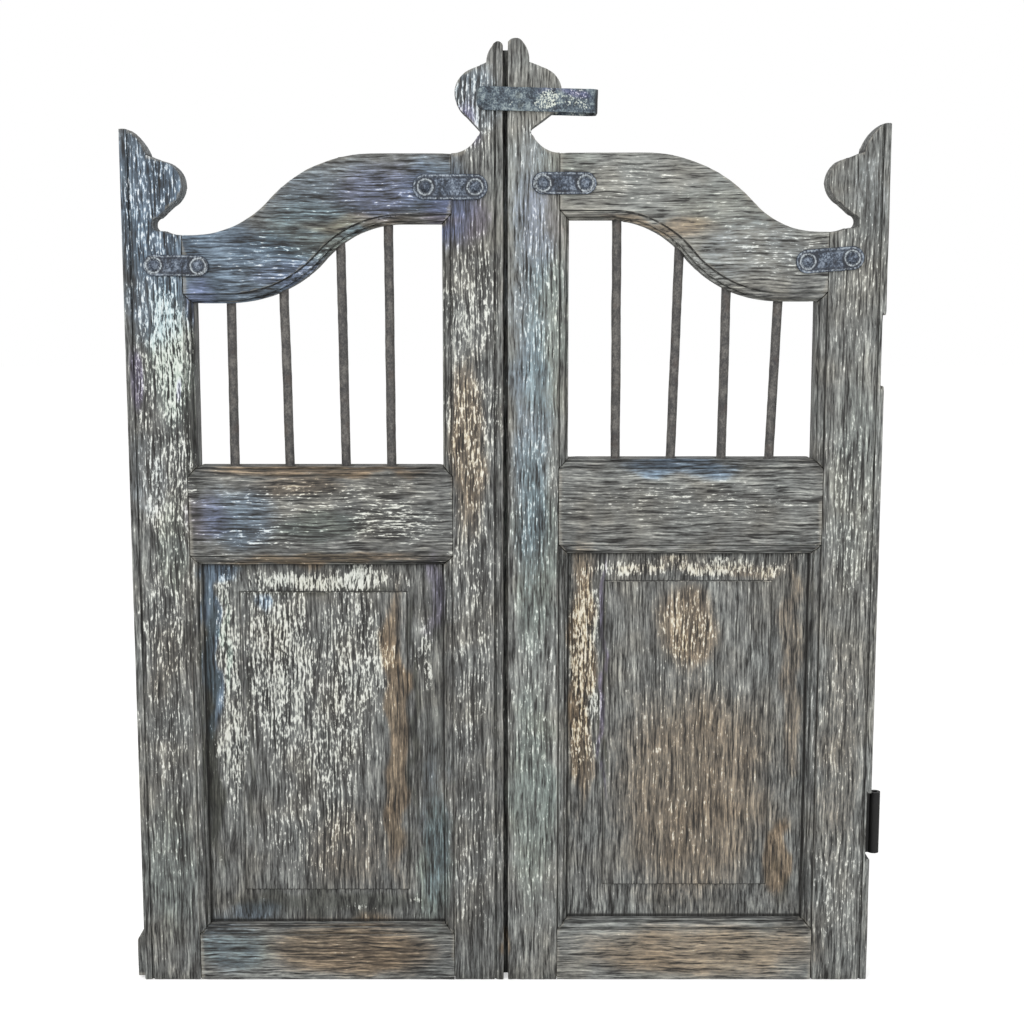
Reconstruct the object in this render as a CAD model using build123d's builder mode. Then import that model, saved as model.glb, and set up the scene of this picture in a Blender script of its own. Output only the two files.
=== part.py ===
from build123d import *
import math
import os

# A pair of half-height saloon door leaves in framed teak, held together by an iron strap latch.
# Millimetres. +Z up, the front of the leaves faces -Y, +X to the right seen from the front.
# The origin is on the floor line, at the middle of the gap between the leaves, at mid-thickness.

# Leaves as a whole
leaf_width = 461.5
leaf_thick = 40.0
meeting_gap = 5.0
hinge_stile_width = 72.0
meeting_stile_width = 63.0
overcut = 1.0    # how far a saw or a drill runs past the wood

# Joints between the members
tenon_thick = 13.0
tenon_reach = 45.0
tenon_inset = 10.0
tenon_fit = 0.2
mortise_spare = 1.0

# Moulding worked on the front edge of every opening
moulding_width = 12.0
moulding_depth = 9.0
mitre_below_moulding = 1.5
quirk_width = 1.2
quirk_depth = 2.4
bead_width = 3.6
bead_drop = 1.6
ovolo_shoulder_in = 2.6
ovolo_shoulder_up = 1.1

# Bead along the outer edges, and along the left leaf's meeting edge
edge_bead_width = 9.0
edge_groove_width = 2.2
edge_groove_depth = 2.5

# Rebate where the leaves meet: the right leaf's rear lip bears on the left leaf's rebate
lip_reach = 9.0
lip_end_gap = 1.0
lip_thick = 20.0
lip_top_drop = 12.0

# Raised and fielded panel in its grooves
groove_wide = 10.0
groove_deep = 10.0
panel_set_back = 19.0
panel_fit = 0.2
panel_spare = 2.0
margin_side = 46.0
margin_top = 35.0
margin_bottom = 43.0
margin_rise = 3.2
field_step = 3.5
field_slope_deg = 20.0
back_field_rise = 4.0
back_field_inset = 30.0

# Iron bars in the upper openings
bar_diameter = 12.0
bar_seat = 15.0
bar_fit = 0.1
bar_hole_spare = 1.0

# Iron plates over the upper joints, and their rivets
plate_thick = 3.0
plate_edge_round = 1.2
plate_ring_width = 2.2
plate_ring_depth = 0.9
rivet_diameter = 6.0
rivet_head_diameter = 11.0
rivet_head_high = 2.8
rivet_fit = 0.1

# Strap latch: a flat iron bar bent round the right leaf's finial
strap_wide = 28.0
strap_thick = 3.5
strap_side_gap = 1.0
strap_slack = 39.5
strap_tail = 11.0
strap_bend_radius = 7.0
strap_corner_round = 8.8
latch_pivot_in = 20.5
latch_pivot_rise = 64.0
latch_droop_deg = 1.5
latch_rivet_diameter = 8.0
latch_rivet_fit = 0.05
latch_head_diameter = 17.0
latch_head_high = 3.0
latch_head_gap = 0.3

# Hinge gains, and the iron hinge eye left in the right leaf's lower gain
gain_height = 86.0
upper_gain_z = 764.0
lower_gain_z = 162.0
upper_gain_deep = 4.5
lower_gain_deep = 5.6
rear_gain_deep = 4.0
rear_gain_wide = 28.0
eye_end_gap = 3.0
eye_diameter = 14.0
eye_bore = 6.4
eye_axis_out = 7.5
eye_leaf_thick = 4.5
eye_leaf_rear_inset = 2.0
screw_diameter = 4.0
screw_length = 24.0
screw_head_diameter = 7.6
screw_head_angle = 82.0
screw_fit = 0.1
screw_hole_spare = 1.0
screw_count = 3

# Lug left on the left leaf's lower outer corner
lug_reach = 10.0
lug_height = 55.0
lug_foot_z = 4.0
lug_chamfer = 6.0
lug_set_back = 4.0

# Heights, one above another from the floor, and how far the right leaf is over and the left under
bottom_rail_high = 76.5
bottom_rail_uneven = 3.5
panel_opening_high = 471.5
panel_opening_uneven = 3.5
mid_rail_high = 121.25
mid_rail_uneven = -2.25
bar_opening_high = 195.75
bar_opening_uneven = -3.75
arch_rise = 97.0
arch_rise_uneven = 1.5
top_rail_inner_high = 82.3
top_rail_inner_uneven = -2.0
top_rail_outer_high = 83.8
top_rail_outer_uneven = 0.9

# Where the S-curves of the top rail start and end, as shares of the opening's width,
# and where they turn, as shares of their own run
arch_start_share = {"left": 0.160, "right": 0.159}
arch_end_share = {"left": 0.864, "right": 0.853}
arch_turn_share = {"left": 0.438, "right": 0.443}
crest_start_share = {"left": 0.275, "right": 0.299}
crest_end_share = {"left": 0.998, "right": 0.998}
crest_turn_share = {"left": 0.571, "right": 0.626}

# Where the bars stand, as shares of the opening's width from the meeting stile
bar_foot_shares = {"left": (0.212, 0.398, 0.628, 0.855), "right": (0.194, 0.421, 0.628, 0.825)}
bar_top_shares = {"left": (0.215, 0.408, 0.641, 0.855), "right": (0.192, 0.445, 0.638, 0.848)}

# Finial of the hinge stile, its points as (in from the outer edge, up from the rail's valley)
hinge_finial_rise = {"left": 126.0, "right": 129.0}
hinge_lip = (48.0, 5.0)
hinge_throat_turn = (36.5, 11.5)
hinge_throat = (43.0, 20.0)
hinge_bulb_foot = (59.0, 34.0)
hinge_bulb_belly = (74.0, 58.0)
hinge_bulb_head = (49.0, 88.5)
hinge_nick = (32.5, 95.0)
hinge_dome_in = 22.0
hinge_dome_drop = 12.0
hinge_crown_width = 8.0

# Finial of the meeting stile, its points as (out from the meeting edge, up from the rail's crest)
meeting_finial_rise = {"left": 131.0, "right": 134.0}
meeting_bulb_reach = {"left": 58.5, "right": 65.5}
meeting_dome_width = {"left": 18.0, "right": 24.0}
meeting_throat_foot = (31.5, 19.5)
meeting_throat_turn = (28.5, 24.0)
meeting_throat_head = (30.5, 29.0)
meeting_belly_rise = 68.0

# Points of the same finial as (in from the bulb's or the dome's reach, up from the crest)
bulb_foot_in = (13.0, 45.0)
bulb_head_in = (21.0, 99.0)
dome_nick_out = (2.5, 106.0)
dome_side_drop = 13.0
dome_corner = 5.0
dome_crown_shift = 2.0


# Iron plates over the joints of the top rail, placed from the middle of the joint that each covers
plate_length = {"left_inner": 91.0, "left_outer": 80.0, "right_inner": 78.0, "right_outer": 83.0}
plate_width = {"left_inner": 31.0, "left_outer": 26.0, "right_inner": 27.0, "right_outer": 29.0}
plate_across = {"left_inner": 1.0, "left_outer": 7.0, "right_inner": 5.5, "right_outer": 1.0}
plate_up = {"left_inner": 2.0, "left_outer": 4.5, "right_inner": 3.5, "right_outer": 8.5}
plate_tilt_deg = {"left_inner": 0.0, "left_outer": 1.0, "right_inner": 0.0, "right_outer": 4.5}

# Places worked out from the sizes above, as on the right leaf
meet_x = meeting_gap / 2
outer_x = meet_x + leaf_width
meet_shoulder = meet_x + meeting_stile_width
hinge_shoulder = outer_x - hinge_stile_width
open_x0 = meet_shoulder + moulding_width
open_x1 = hinge_shoulder - moulding_width
half = leaf_thick / 2
open_width = open_x1 - open_x0
tenon_end_in = meet_shoulder - tenon_reach
tenon_end_out = hinge_shoulder + tenon_reach
eye_height = gain_height - 2 * eye_end_gap
eye_floor_x = outer_x - lower_gain_deep
eye_axis_x = outer_x + eye_axis_out
eye_leaf_rear_y = half - eye_leaf_rear_inset
groove_front_y = -half + panel_set_back
face = Plane.XZ.offset(half)
back = Plane.XZ.offset(-half)
mitre_depth = moulding_depth + mitre_below_moulding
front_layer = Plane.XZ.offset(half - mitre_depth)


def per_leaf(size, uneven):
    """A height of each leaf: under the size on the left and over it on the right."""
    return {"left": size - uneven, "right": size + uneven}


def stacked(below, size, uneven):
    """The level of each leaf that lies a height above another level."""
    above = per_leaf(size, uneven)
    return {side: below[side] + above[side] for side in below}


def across_opening(shares):
    """The place in the opening's width that each leaf's share stands for."""
    return {side: open_x0 + share * open_width for side, share in shares.items()}


# Levels of each leaf, and where its S-curves start and end
bottom_rail_top = per_leaf(bottom_rail_high, bottom_rail_uneven)
mid_rail_foot = stacked(bottom_rail_top, panel_opening_high, panel_opening_uneven)
mid_rail_top = stacked(mid_rail_foot, mid_rail_high, mid_rail_uneven)
arch_low = stacked(mid_rail_top, bar_opening_high, bar_opening_uneven)
arch_high = stacked(arch_low, arch_rise, arch_rise_uneven)
valley = stacked(arch_low, top_rail_outer_high, top_rail_outer_uneven)
crest = stacked(arch_high, top_rail_inner_high, top_rail_inner_uneven)
arch_start = across_opening(arch_start_share)
arch_end = across_opening(arch_end_share)
crest_start = across_opening(crest_start_share)
crest_end = across_opening(crest_end_share)
arch_curve = {side: (arch_start[side], arch_end[side], arch_turn_share[side]) for side in arch_start}
crest_curve = {side: (crest_start[side], crest_end[side], crest_turn_share[side]) for side in crest_start}

# Middle of the joints that the iron plates cover
plate_ends = ("inner", "outer")
joint_x = {"inner": meet_shoulder, "outer": hinge_shoulder}
joint_foot = {"inner": arch_high, "outer": arch_low}
joint_top = {"inner": crest, "outer": valley}

# Pivot and end of the latch strap
latch_pivot_x = -meet_x - latch_pivot_in
latch_pivot_z = crest["left"] + latch_pivot_rise
strap_end_x = meet_x + meeting_bulb_reach["right"] + strap_slack + strap_thick

os.makedirs("parts", exist_ok=True)


def finish(piece, label, side="right"):
    """Mirror a piece of the left leaf, name it and write it."""
    solid = piece.part
    if side == "left":
        solid = mirror(solid, about=Plane.YZ)
    solid.label = label
    export_step(solid, f"parts/{label}.step")
    return solid


# The S-curve of the top rail: two arcs, level where they start and end, and the share of the
# run at which one turns into the other

def ogee_height(x, curve, high, low):
    """Height of the S-curve at x."""
    start, end, turn = curve
    both_radii = ((end - start) ** 2 + (high - low) ** 2) / (2 * (high - low))
    if x <= start:
        return high
    if x >= end:
        return low
    if x < start + turn * (end - start):
        radius = turn * both_radii
        return high - radius + math.sqrt(radius**2 - (x - start) ** 2)
    radius = (1 - turn) * both_radii
    return low + radius - math.sqrt(radius**2 - (end - x) ** 2)


def ogee_falling(curve, high, low):
    """Draw the S-curve from its high end to its low end."""
    start, end, turn = curve
    middle = (start + turn * (end - start), high + turn * (low - high))
    TangentArc((start, high), middle, tangent=(1, 0))
    TangentArc((end, low), middle, tangent=(-1, 0))


def ogee_rising(curve, high, low):
    """Draw the same S-curve from its low end to its high end."""
    start, end, turn = curve
    middle = (start + turn * (end - start), high + turn * (low - high))
    TangentArc((end, low), middle, tangent=(-1, 0))
    TangentArc((start, high), middle, tangent=(1, 0))


# Moulding: the wood lies to the left of the path, seen from the front

def moulding_cutter(path):
    """Sweep the waste of the moulding, a quirk, an ovolo and a small bead, along a path."""
    start = path @ 0
    along = path % 0
    into_wood = Vector(0, -1, 0).cross(along)
    bead_top = (bead_width / 2, -moulding_depth + (bead_width - bead_drop) / 2)
    bead_foot = (bead_width, -moulding_depth + bead_width - 2 * bead_drop)
    ovolo_end = (bead_width, bead_foot[1] + bead_drop)
    ovolo_start = (moulding_width - quirk_width, -quirk_depth)
    ovolo_top = (ovolo_start[0] - ovolo_shoulder_in, ovolo_start[1] + ovolo_shoulder_up)
    with BuildPart() as cutter:
        with BuildSketch(Plane(origin=start, x_dir=into_wood, z_dir=along)):
            with BuildLine():
                Polyline(
                    ovolo_start,
                    (moulding_width, -quirk_depth),
                    (moulding_width, overcut),
                    (-overcut, overcut),
                    (-overcut, -moulding_depth),
                    (0, -moulding_depth),
                )
                ThreePointArc((0, -moulding_depth), bead_top, bead_foot)
                Line(bead_foot, ovolo_end)
                ThreePointArc(ovolo_end, ovolo_top, ovolo_start)
            make_face()
        sweep(path=path)
    return cutter.part


def straight_moulding(start, end):
    """The waste of a straight moulding on the front face from one (x, z) to another."""
    with BuildLine() as line:
        Line(start, end)
    return moulding_cutter(face.from_local_coords(line.wire()))


def arch_moulding(side):
    """The waste of the moulding along the top rail's lower edge, from the meeting stile outward."""
    curve, high, low = arch_curve[side], arch_high[side], arch_low[side]
    with BuildLine() as line:
        Line((meet_shoulder, high), (curve[0], high))
        ogee_falling(curve, high, low)
        Line((curve[1], low), (hinge_shoulder, low))
    return moulding_cutter(face.from_local_coords(line.wire()))


def groove_box(side):
    """The space of the grooves that hold the panel's tongue, run all round the opening."""
    width = open_width + 2 * groove_deep
    height = mid_rail_foot[side] - bottom_rail_top[side] + 2 * groove_deep
    centre_z = (mid_rail_foot[side] + bottom_rail_top[side]) / 2
    with BuildPart() as box:
        with Locations(((open_x0 + open_x1) / 2, groove_front_y + groove_wide / 2, centre_z)):
            Box(width, groove_wide, height)
    return box.part


# Tenons and their mortises: one list of (foot, top) heights for each end of the rails

def tenon_spans(side, end):
    """Foot and top of the bottom, middle and top rail's tenons at one end."""
    top_foot = (arch_high if end == "inner" else arch_low)[side] + moulding_width
    top_top = (crest if end == "inner" else valley)[side]
    return {
        "bottom": (tenon_inset, bottom_rail_top[side] - moulding_width - tenon_inset),
        "mid": (
            mid_rail_foot[side] + moulding_width + tenon_inset,
            mid_rail_top[side] - moulding_width - tenon_inset,
        ),
        "top": (top_foot + tenon_inset, top_top - tenon_inset),
    }


def add_tenons(side, rail):
    """Add a rail's two tenons to the part being built."""
    for end, x_from, x_to in (
        ("inner", tenon_end_in, open_x0),
        ("outer", open_x1, tenon_end_out),
    ):
        foot, top = tenon_spans(side, end)[rail]
        with Locations(((x_from + x_to) / 2, 0, (foot + top) / 2)):
            Box(x_to - x_from, tenon_thick, top - foot)


def cut_mortises(side, end):
    """Cut the three mortises of a stile, a little larger than the tenons."""
    x_from = tenon_end_in - mortise_spare if end == "inner" else open_x1
    x_to = open_x0 if end == "inner" else tenon_end_out + mortise_spare
    for foot, top in tenon_spans(side, end).values():
        with Locations(((x_from + x_to) / 2, 0, (foot + top) / 2)):
            Box(
                x_to - x_from,
                tenon_thick + 2 * tenon_fit,
                top - foot + 2 * tenon_fit,
                mode=Mode.SUBTRACT,
            )


def plate_middle(side, end):
    """The centre of a joint plate."""
    key = f"{side}_{end}"
    joint_z = (joint_foot[end][side] + joint_top[end][side]) / 2
    return joint_x[end] + plate_across[key], joint_z + plate_up[key]


def plate_rivet_places(side, end):
    """The two rivets of a joint plate, at the centres of its round ends."""
    key = f"{side}_{end}"
    x, z = plate_middle(side, end)
    reach = (plate_length[key] - plate_width[key]) / 2
    turn = math.radians(plate_tilt_deg[key])
    along, up = reach * math.cos(turn), reach * math.sin(turn)
    return [(x - along, z - up), (x + along, z + up)]


def cut_rivet_holes(side, end):
    """Bore the rivet holes of one joint plate through the wood."""
    for x, z in plate_rivet_places(side, end):
        with Locations(Plane(origin=(x, 0, z), z_dir=(0, -1, 0))):
            Cylinder(
                rivet_diameter / 2 + rivet_fit,
                leaf_thick + 2 * overcut,
                mode=Mode.SUBTRACT,
            )


# Stiles

def hinge_stile_end(side):
    """Outline of the hinge stile's finial, from the top rail's valley to the outer edge."""
    base = valley[side]
    tip = base + hinge_finial_rise[side]
    lip, throat_turn, throat, bulb_foot, belly, bulb_head, nick = [
        (outer_x - inward, base + up)
        for inward, up in (
            hinge_lip,
            hinge_throat_turn,
            hinge_throat,
            hinge_bulb_foot,
            hinge_bulb_belly,
            hinge_bulb_head,
            hinge_nick,
        )
    ]
    crown = (outer_x - hinge_crown_width, tip)
    TangentArc((hinge_shoulder, base), lip, tangent=(1, 0))
    ThreePointArc(lip, throat_turn, throat)
    Line(throat, bulb_foot)
    ThreePointArc(bulb_foot, belly, bulb_head)
    Line(bulb_head, nick)
    ThreePointArc(nick, (outer_x - hinge_dome_in, tip - hinge_dome_drop), crown)
    Line(crown, (outer_x, tip))


def hinge_stile(side):
    foot, head = bottom_rail_top[side], mid_rail_foot[side]
    sill, low = mid_rail_top[side], arch_low[side]
    mitred = [
        (hinge_shoulder, 0),
        (hinge_shoulder, foot - moulding_width),
        (open_x1, foot),
        (open_x1, head),
        (hinge_shoulder, head + moulding_width),
        (hinge_shoulder, sill - moulding_width),
        (open_x1, sill),
        (open_x1, low),
        (hinge_shoulder, low + moulding_width),
        (hinge_shoulder, valley[side]),
    ]
    square = [(open_x1, 0), (open_x1, valley[side]), (hinge_shoulder, valley[side])]
    panel_moulding = straight_moulding((open_x1, head + moulding_width), (open_x1, foot - moulding_width))
    bar_moulding = straight_moulding((open_x1, low + moulding_width), (open_x1, sill - moulding_width))
    grooves = groove_box(side)
    tip = valley[side] + hinge_finial_rise[side]
    with BuildPart() as stile:
        for plane, inner_edge, depth in (
            (front_layer, mitred, mitre_depth),
            (back, square, leaf_thick - mitre_depth),
        ):
            with BuildSketch(plane):
                with BuildLine():
                    Polyline(*inner_edge)
                    hinge_stile_end(side)
                    Polyline((outer_x, tip), (outer_x, 0), inner_edge[0])
                make_face()
            extrude(amount=depth)
        add(panel_moulding, mode=Mode.SUBTRACT)
        add(bar_moulding, mode=Mode.SUBTRACT)
        add(grooves, mode=Mode.SUBTRACT)
        cut_mortises(side, "outer")
        cut_rivet_holes(side, "outer")
        groove_x = outer_x - edge_bead_width - edge_groove_width / 2
        with Locations((groove_x, -half + edge_groove_depth / 2, tip / 2)):
            Box(edge_groove_width, edge_groove_depth, tip, mode=Mode.SUBTRACT)
        if side == "right":
            for gain_z, deep in ((upper_gain_z, upper_gain_deep), (lower_gain_z, lower_gain_deep)):
                with Locations((outer_x - deep / 2, 0, gain_z + gain_height / 2)):
                    Box(deep, leaf_thick, gain_height, mode=Mode.SUBTRACT)
            for place in screw_places():
                with Locations(Plane(origin=place, z_dir=(1, 0, 0))):
                    Cylinder(
                        screw_diameter / 2 + screw_fit,
                        screw_length + screw_hole_spare,
                        align=(Align.CENTER, Align.CENTER, Align.MAX),
                        mode=Mode.SUBTRACT,
                    )
        else:
            for gain_z in (upper_gain_z, lower_gain_z):
                gain_y = half - rear_gain_wide / 2
                with Locations((outer_x - rear_gain_deep / 2, gain_y, gain_z + gain_height / 2)):
                    Box(rear_gain_deep, rear_gain_wide, gain_height, mode=Mode.SUBTRACT)
            lug_wide = leaf_thick - lug_set_back
            with BuildSketch(back):
                with BuildLine():
                    Polyline(
                        (outer_x, lug_foot_z),
                        (outer_x + lug_reach, lug_foot_z),
                        (outer_x + lug_reach, lug_foot_z + lug_height - lug_chamfer),
                        (outer_x + lug_reach - lug_chamfer, lug_foot_z + lug_height),
                        (outer_x, lug_foot_z + lug_height),
                        close=True,
                    )
                make_face()
            extrude(amount=lug_wide)
    return finish(stile, f"{side}_hinge_stile", side)


def meeting_stile_end(side):
    """Outline of the meeting stile's finial, from the meeting edge to the top rail's crest."""
    base = crest[side]
    tip = base + meeting_finial_rise[side]
    bulb = meet_x + meeting_bulb_reach[side]
    dome = meet_x + meeting_dome_width[side]
    crown = ((meet_x + dome) / 2 - dome_crown_shift, tip)
    dome_shoulder = (dome - dome_corner, tip - dome_corner)
    nick = (dome + dome_nick_out[0], base + dome_nick_out[1])
    bulb_head = (bulb - bulb_head_in[0], base + bulb_head_in[1])
    bulb_foot = (bulb - bulb_foot_in[0], base + bulb_foot_in[1])
    throat_head, throat_turn, throat_foot = [
        (meet_x + outward, base + up)
        for outward, up in (meeting_throat_head, meeting_throat_turn, meeting_throat_foot)
    ]
    ThreePointArc((meet_x, tip - dome_corner), crown, dome_shoulder)
    ThreePointArc(dome_shoulder, (dome, tip - dome_side_drop), nick)
    Line(nick, bulb_head)
    ThreePointArc(bulb_head, (bulb, base + meeting_belly_rise), bulb_foot)
    Line(bulb_foot, throat_head)
    ThreePointArc(throat_head, throat_turn, throat_foot)
    TangentArc((meet_shoulder, base), throat_foot, tangent=(-1, 0))


def meeting_stile(side):
    foot, head = bottom_rail_top[side], mid_rail_foot[side]
    sill, high = mid_rail_top[side], arch_high[side]
    tip = crest[side] + meeting_finial_rise[side]
    mitred = [
        (meet_shoulder, crest[side]),
        (meet_shoulder, high + moulding_width),
        (open_x0, high),
        (open_x0, sill),
        (meet_shoulder, sill - moulding_width),
        (meet_shoulder, head + moulding_width),
        (open_x0, head),
        (open_x0, foot),
        (meet_shoulder, foot - moulding_width),
        (meet_shoulder, 0),
        (meet_x, 0),
        (meet_x, tip - dome_corner),
    ]
    square = [
        (meet_shoulder, crest[side]),
        (open_x0, crest[side]),
        (open_x0, 0),
        (meet_x, 0),
        (meet_x, tip - dome_corner),
    ]
    panel_moulding = straight_moulding((open_x0, foot - moulding_width), (open_x0, head + moulding_width))
    bar_moulding = straight_moulding((open_x0, sill - moulding_width), (open_x0, high + moulding_width))
    grooves = groove_box(side)
    with BuildPart() as stile:
        for plane, outline, depth in (
            (front_layer, mitred, mitre_depth),
            (back, square, leaf_thick - mitre_depth),
        ):
            with BuildSketch(plane):
                with BuildLine():
                    Polyline(*outline)
                    meeting_stile_end(side)
                make_face()
            extrude(amount=depth)
        add(panel_moulding, mode=Mode.SUBTRACT)
        add(bar_moulding, mode=Mode.SUBTRACT)
        add(grooves, mode=Mode.SUBTRACT)
        cut_mortises(side, "inner")
        cut_rivet_holes(side, "inner")
        if side == "right":
            lip_top = tip - lip_top_drop
            with Locations((meet_x - lip_reach / 2, half - lip_thick / 2, lip_top / 2)):
                Box(lip_reach, lip_thick, lip_top)
        else:
            rebate_wide = lip_reach + lip_end_gap - meeting_gap
            with Locations((meet_x + rebate_wide / 2, half - lip_thick / 2, tip / 2)):
                Box(rebate_wide, lip_thick, tip, mode=Mode.SUBTRACT)
            groove_x = meet_x + edge_bead_width + edge_groove_width / 2
            with Locations((groove_x, -half + edge_groove_depth / 2, tip / 2)):
                Box(edge_groove_width, edge_groove_depth, tip, mode=Mode.SUBTRACT)
            with Locations(Plane(origin=(-latch_pivot_x, 0, latch_pivot_z), z_dir=(0, -1, 0))):
                Cylinder(latch_rivet_diameter / 2 + rivet_fit, leaf_thick, mode=Mode.SUBTRACT)
    return finish(stile, f"{side}_meeting_stile", side)


# Rails

def top_rail(side):
    low, high = arch_low[side], arch_high[side]
    moulding = arch_moulding(side)
    inner_mitre = (meet_shoulder, high + moulding_width)
    outer_mitre = (hinge_shoulder, low + moulding_width)
    holes = bar_solids(side, bar_diameter / 2 + bar_fit, bar_seat + bar_hole_spare)
    with BuildPart() as rail:
        for plane, mitres, depth in (
            (front_layer, ([inner_mitre], [outer_mitre]), mitre_depth),
            (back, ([], []), leaf_thick - mitre_depth),
        ):
            x_in = meet_shoulder if mitres[0] else open_x0
            x_out = hinge_shoulder if mitres[1] else open_x1
            with BuildSketch(plane):
                with BuildLine():
                    Line((x_in, crest[side]), (crest_curve[side][0], crest[side]))
                    ogee_falling(crest_curve[side], crest[side], valley[side])
                    Line((crest_curve[side][1], valley[side]), (x_out, valley[side]))
                    Polyline((x_out, valley[side]), *mitres[1], (open_x1, low))
                    Line((open_x1, low), (arch_curve[side][1], low))
                    ogee_rising(arch_curve[side], high, low)
                    Line((arch_curve[side][0], high), (open_x0, high))
                    Polyline((open_x0, high), *mitres[0], (x_in, crest[side]))
                make_face()
            extrude(amount=depth)
        add(moulding, mode=Mode.SUBTRACT)
        add_tenons(side, "top")
        add(holes, mode=Mode.SUBTRACT)
        for end in plate_ends:
            cut_rivet_holes(side, end)
    return finish(rail, f"{side}_top_rail", side)


def mid_rail(side):
    foot, sill = mid_rail_foot[side], mid_rail_top[side]
    panel_moulding = straight_moulding((meet_shoulder, foot), (hinge_shoulder, foot))
    sill_moulding = straight_moulding((hinge_shoulder, sill), (meet_shoulder, sill))
    grooves = groove_box(side)
    holes = bar_solids(side, bar_diameter / 2 + bar_fit, bar_seat + bar_hole_spare)
    with BuildPart() as rail:
        with BuildSketch(front_layer):
            with BuildLine():
                Polyline(
                    (open_x0, foot),
                    (open_x1, foot),
                    (hinge_shoulder, foot + moulding_width),
                    (hinge_shoulder, sill - moulding_width),
                    (open_x1, sill),
                    (open_x0, sill),
                    (meet_shoulder, sill - moulding_width),
                    (meet_shoulder, foot + moulding_width),
                    close=True,
                )
            make_face()
        extrude(amount=mitre_depth)
        with BuildSketch(back):
            with Locations(((open_x0 + open_x1) / 2, (foot + sill) / 2)):
                Rectangle(open_width, sill - foot)
        extrude(amount=leaf_thick - mitre_depth)
        add(panel_moulding, mode=Mode.SUBTRACT)
        add(sill_moulding, mode=Mode.SUBTRACT)
        add(grooves, mode=Mode.SUBTRACT)
        add_tenons(side, "mid")
        add(holes, mode=Mode.SUBTRACT)
    return finish(rail, f"{side}_mid_rail", side)


def bottom_rail(side):
    top = bottom_rail_top[side]
    panel_moulding = straight_moulding((hinge_shoulder, top), (meet_shoulder, top))
    grooves = groove_box(side)
    with BuildPart() as rail:
        with BuildSketch(front_layer):
            with BuildLine():
                Polyline(
                    (meet_shoulder, 0),
                    (hinge_shoulder, 0),
                    (hinge_shoulder, top - moulding_width),
                    (open_x1, top),
                    (open_x0, top),
                    (meet_shoulder, top - moulding_width),
                    close=True,
                )
            make_face()
        extrude(amount=mitre_depth)
        with BuildSketch(back):
            with Locations(((open_x0 + open_x1) / 2, top / 2)):
                Rectangle(open_width, top)
        extrude(amount=leaf_thick - mitre_depth)
        add(panel_moulding, mode=Mode.SUBTRACT)
        add(grooves, mode=Mode.SUBTRACT)
        add_tenons(side, "bottom")
    return finish(rail, f"{side}_bottom_rail", side)


# Raised and fielded panel

def panel(side):
    foot, head = bottom_rail_top[side], mid_rail_foot[side]
    middle = ((open_x0 + open_x1) / 2, (foot + head) / 2)
    wide, high = open_width, head - foot
    tongue = groove_deep - panel_spare
    tongue_front = groove_front_y + panel_fit
    tongue_thick = groove_wide - 2 * panel_fit
    field_wide, field_high = wide - 2 * margin_side, high - margin_top - margin_bottom
    field_middle = (middle[0], middle[1] + (margin_bottom - margin_top) / 2)
    tongue_plane = Plane.XZ.offset(-tongue_front)
    with BuildPart() as board:
        with BuildSketch(Plane.XZ.offset(-tongue_front - tongue_thick)):
            with Locations(middle):
                Rectangle(wide + 2 * tongue, high + 2 * tongue)
        extrude(amount=tongue_thick)
        with BuildSketch(tongue_plane):
            with Locations(middle):
                Rectangle(wide - 2 * panel_fit, high - 2 * panel_fit)
        with BuildSketch(tongue_plane.offset(margin_rise)):
            with Locations(field_middle):
                Rectangle(field_wide, field_high)
        loft()
        with BuildSketch(tongue_plane.offset(margin_rise)):
            with Locations(field_middle):
                Rectangle(field_wide, field_high)
        extrude(amount=field_step, taper=field_slope_deg)
        with BuildSketch(Plane.XZ.offset(-tongue_front - tongue_thick - back_field_rise)):
            with Locations(middle):
                Rectangle(wide - 2 * back_field_inset, high - 2 * back_field_inset)
        extrude(amount=back_field_rise)
    return finish(board, f"{side}_panel", side)


# Round iron bars between the middle rail and the arched rail

def bar_ends(side, shares, seat):
    """Foot and top of a bar that runs the given depth into both rails."""
    x_foot, x_top = [open_x0 + share * open_width for share in shares]
    z_foot = mid_rail_top[side]
    z_top = ogee_height(x_top, arch_curve[side], arch_high[side], arch_low[side])
    foot, top = Vector(x_foot, 0, z_foot), Vector(x_top, 0, z_top)
    run = (top - foot).normalized()
    return foot - run * seat, top + run * seat


def bar_solids(side, radius, seat):
    """The bars of a leaf, or the holes for them, as one set of solids."""
    with BuildPart() as bars:
        for shares in zip(bar_foot_shares[side], bar_top_shares[side]):
            foot, top = bar_ends(side, shares, seat)
            with Locations(Plane(origin=foot, z_dir=top - foot)):
                Cylinder(
                    radius,
                    (top - foot).length,
                    align=(Align.CENTER, Align.CENTER, Align.MIN),
                )
    return bars.part


def bar(side, number):
    shares = bar_foot_shares[side][number - 1], bar_top_shares[side][number - 1]
    foot, top = bar_ends(side, shares, bar_seat)
    with BuildPart() as rod:
        with Locations(Plane(origin=foot, z_dir=top - foot)):
            Cylinder(
                bar_diameter / 2,
                (top - foot).length,
                align=(Align.CENTER, Align.CENTER, Align.MIN),
            )
    return finish(rod, f"{side}_bar_{number}", side)


# Iron joint plates and their rivets

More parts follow.
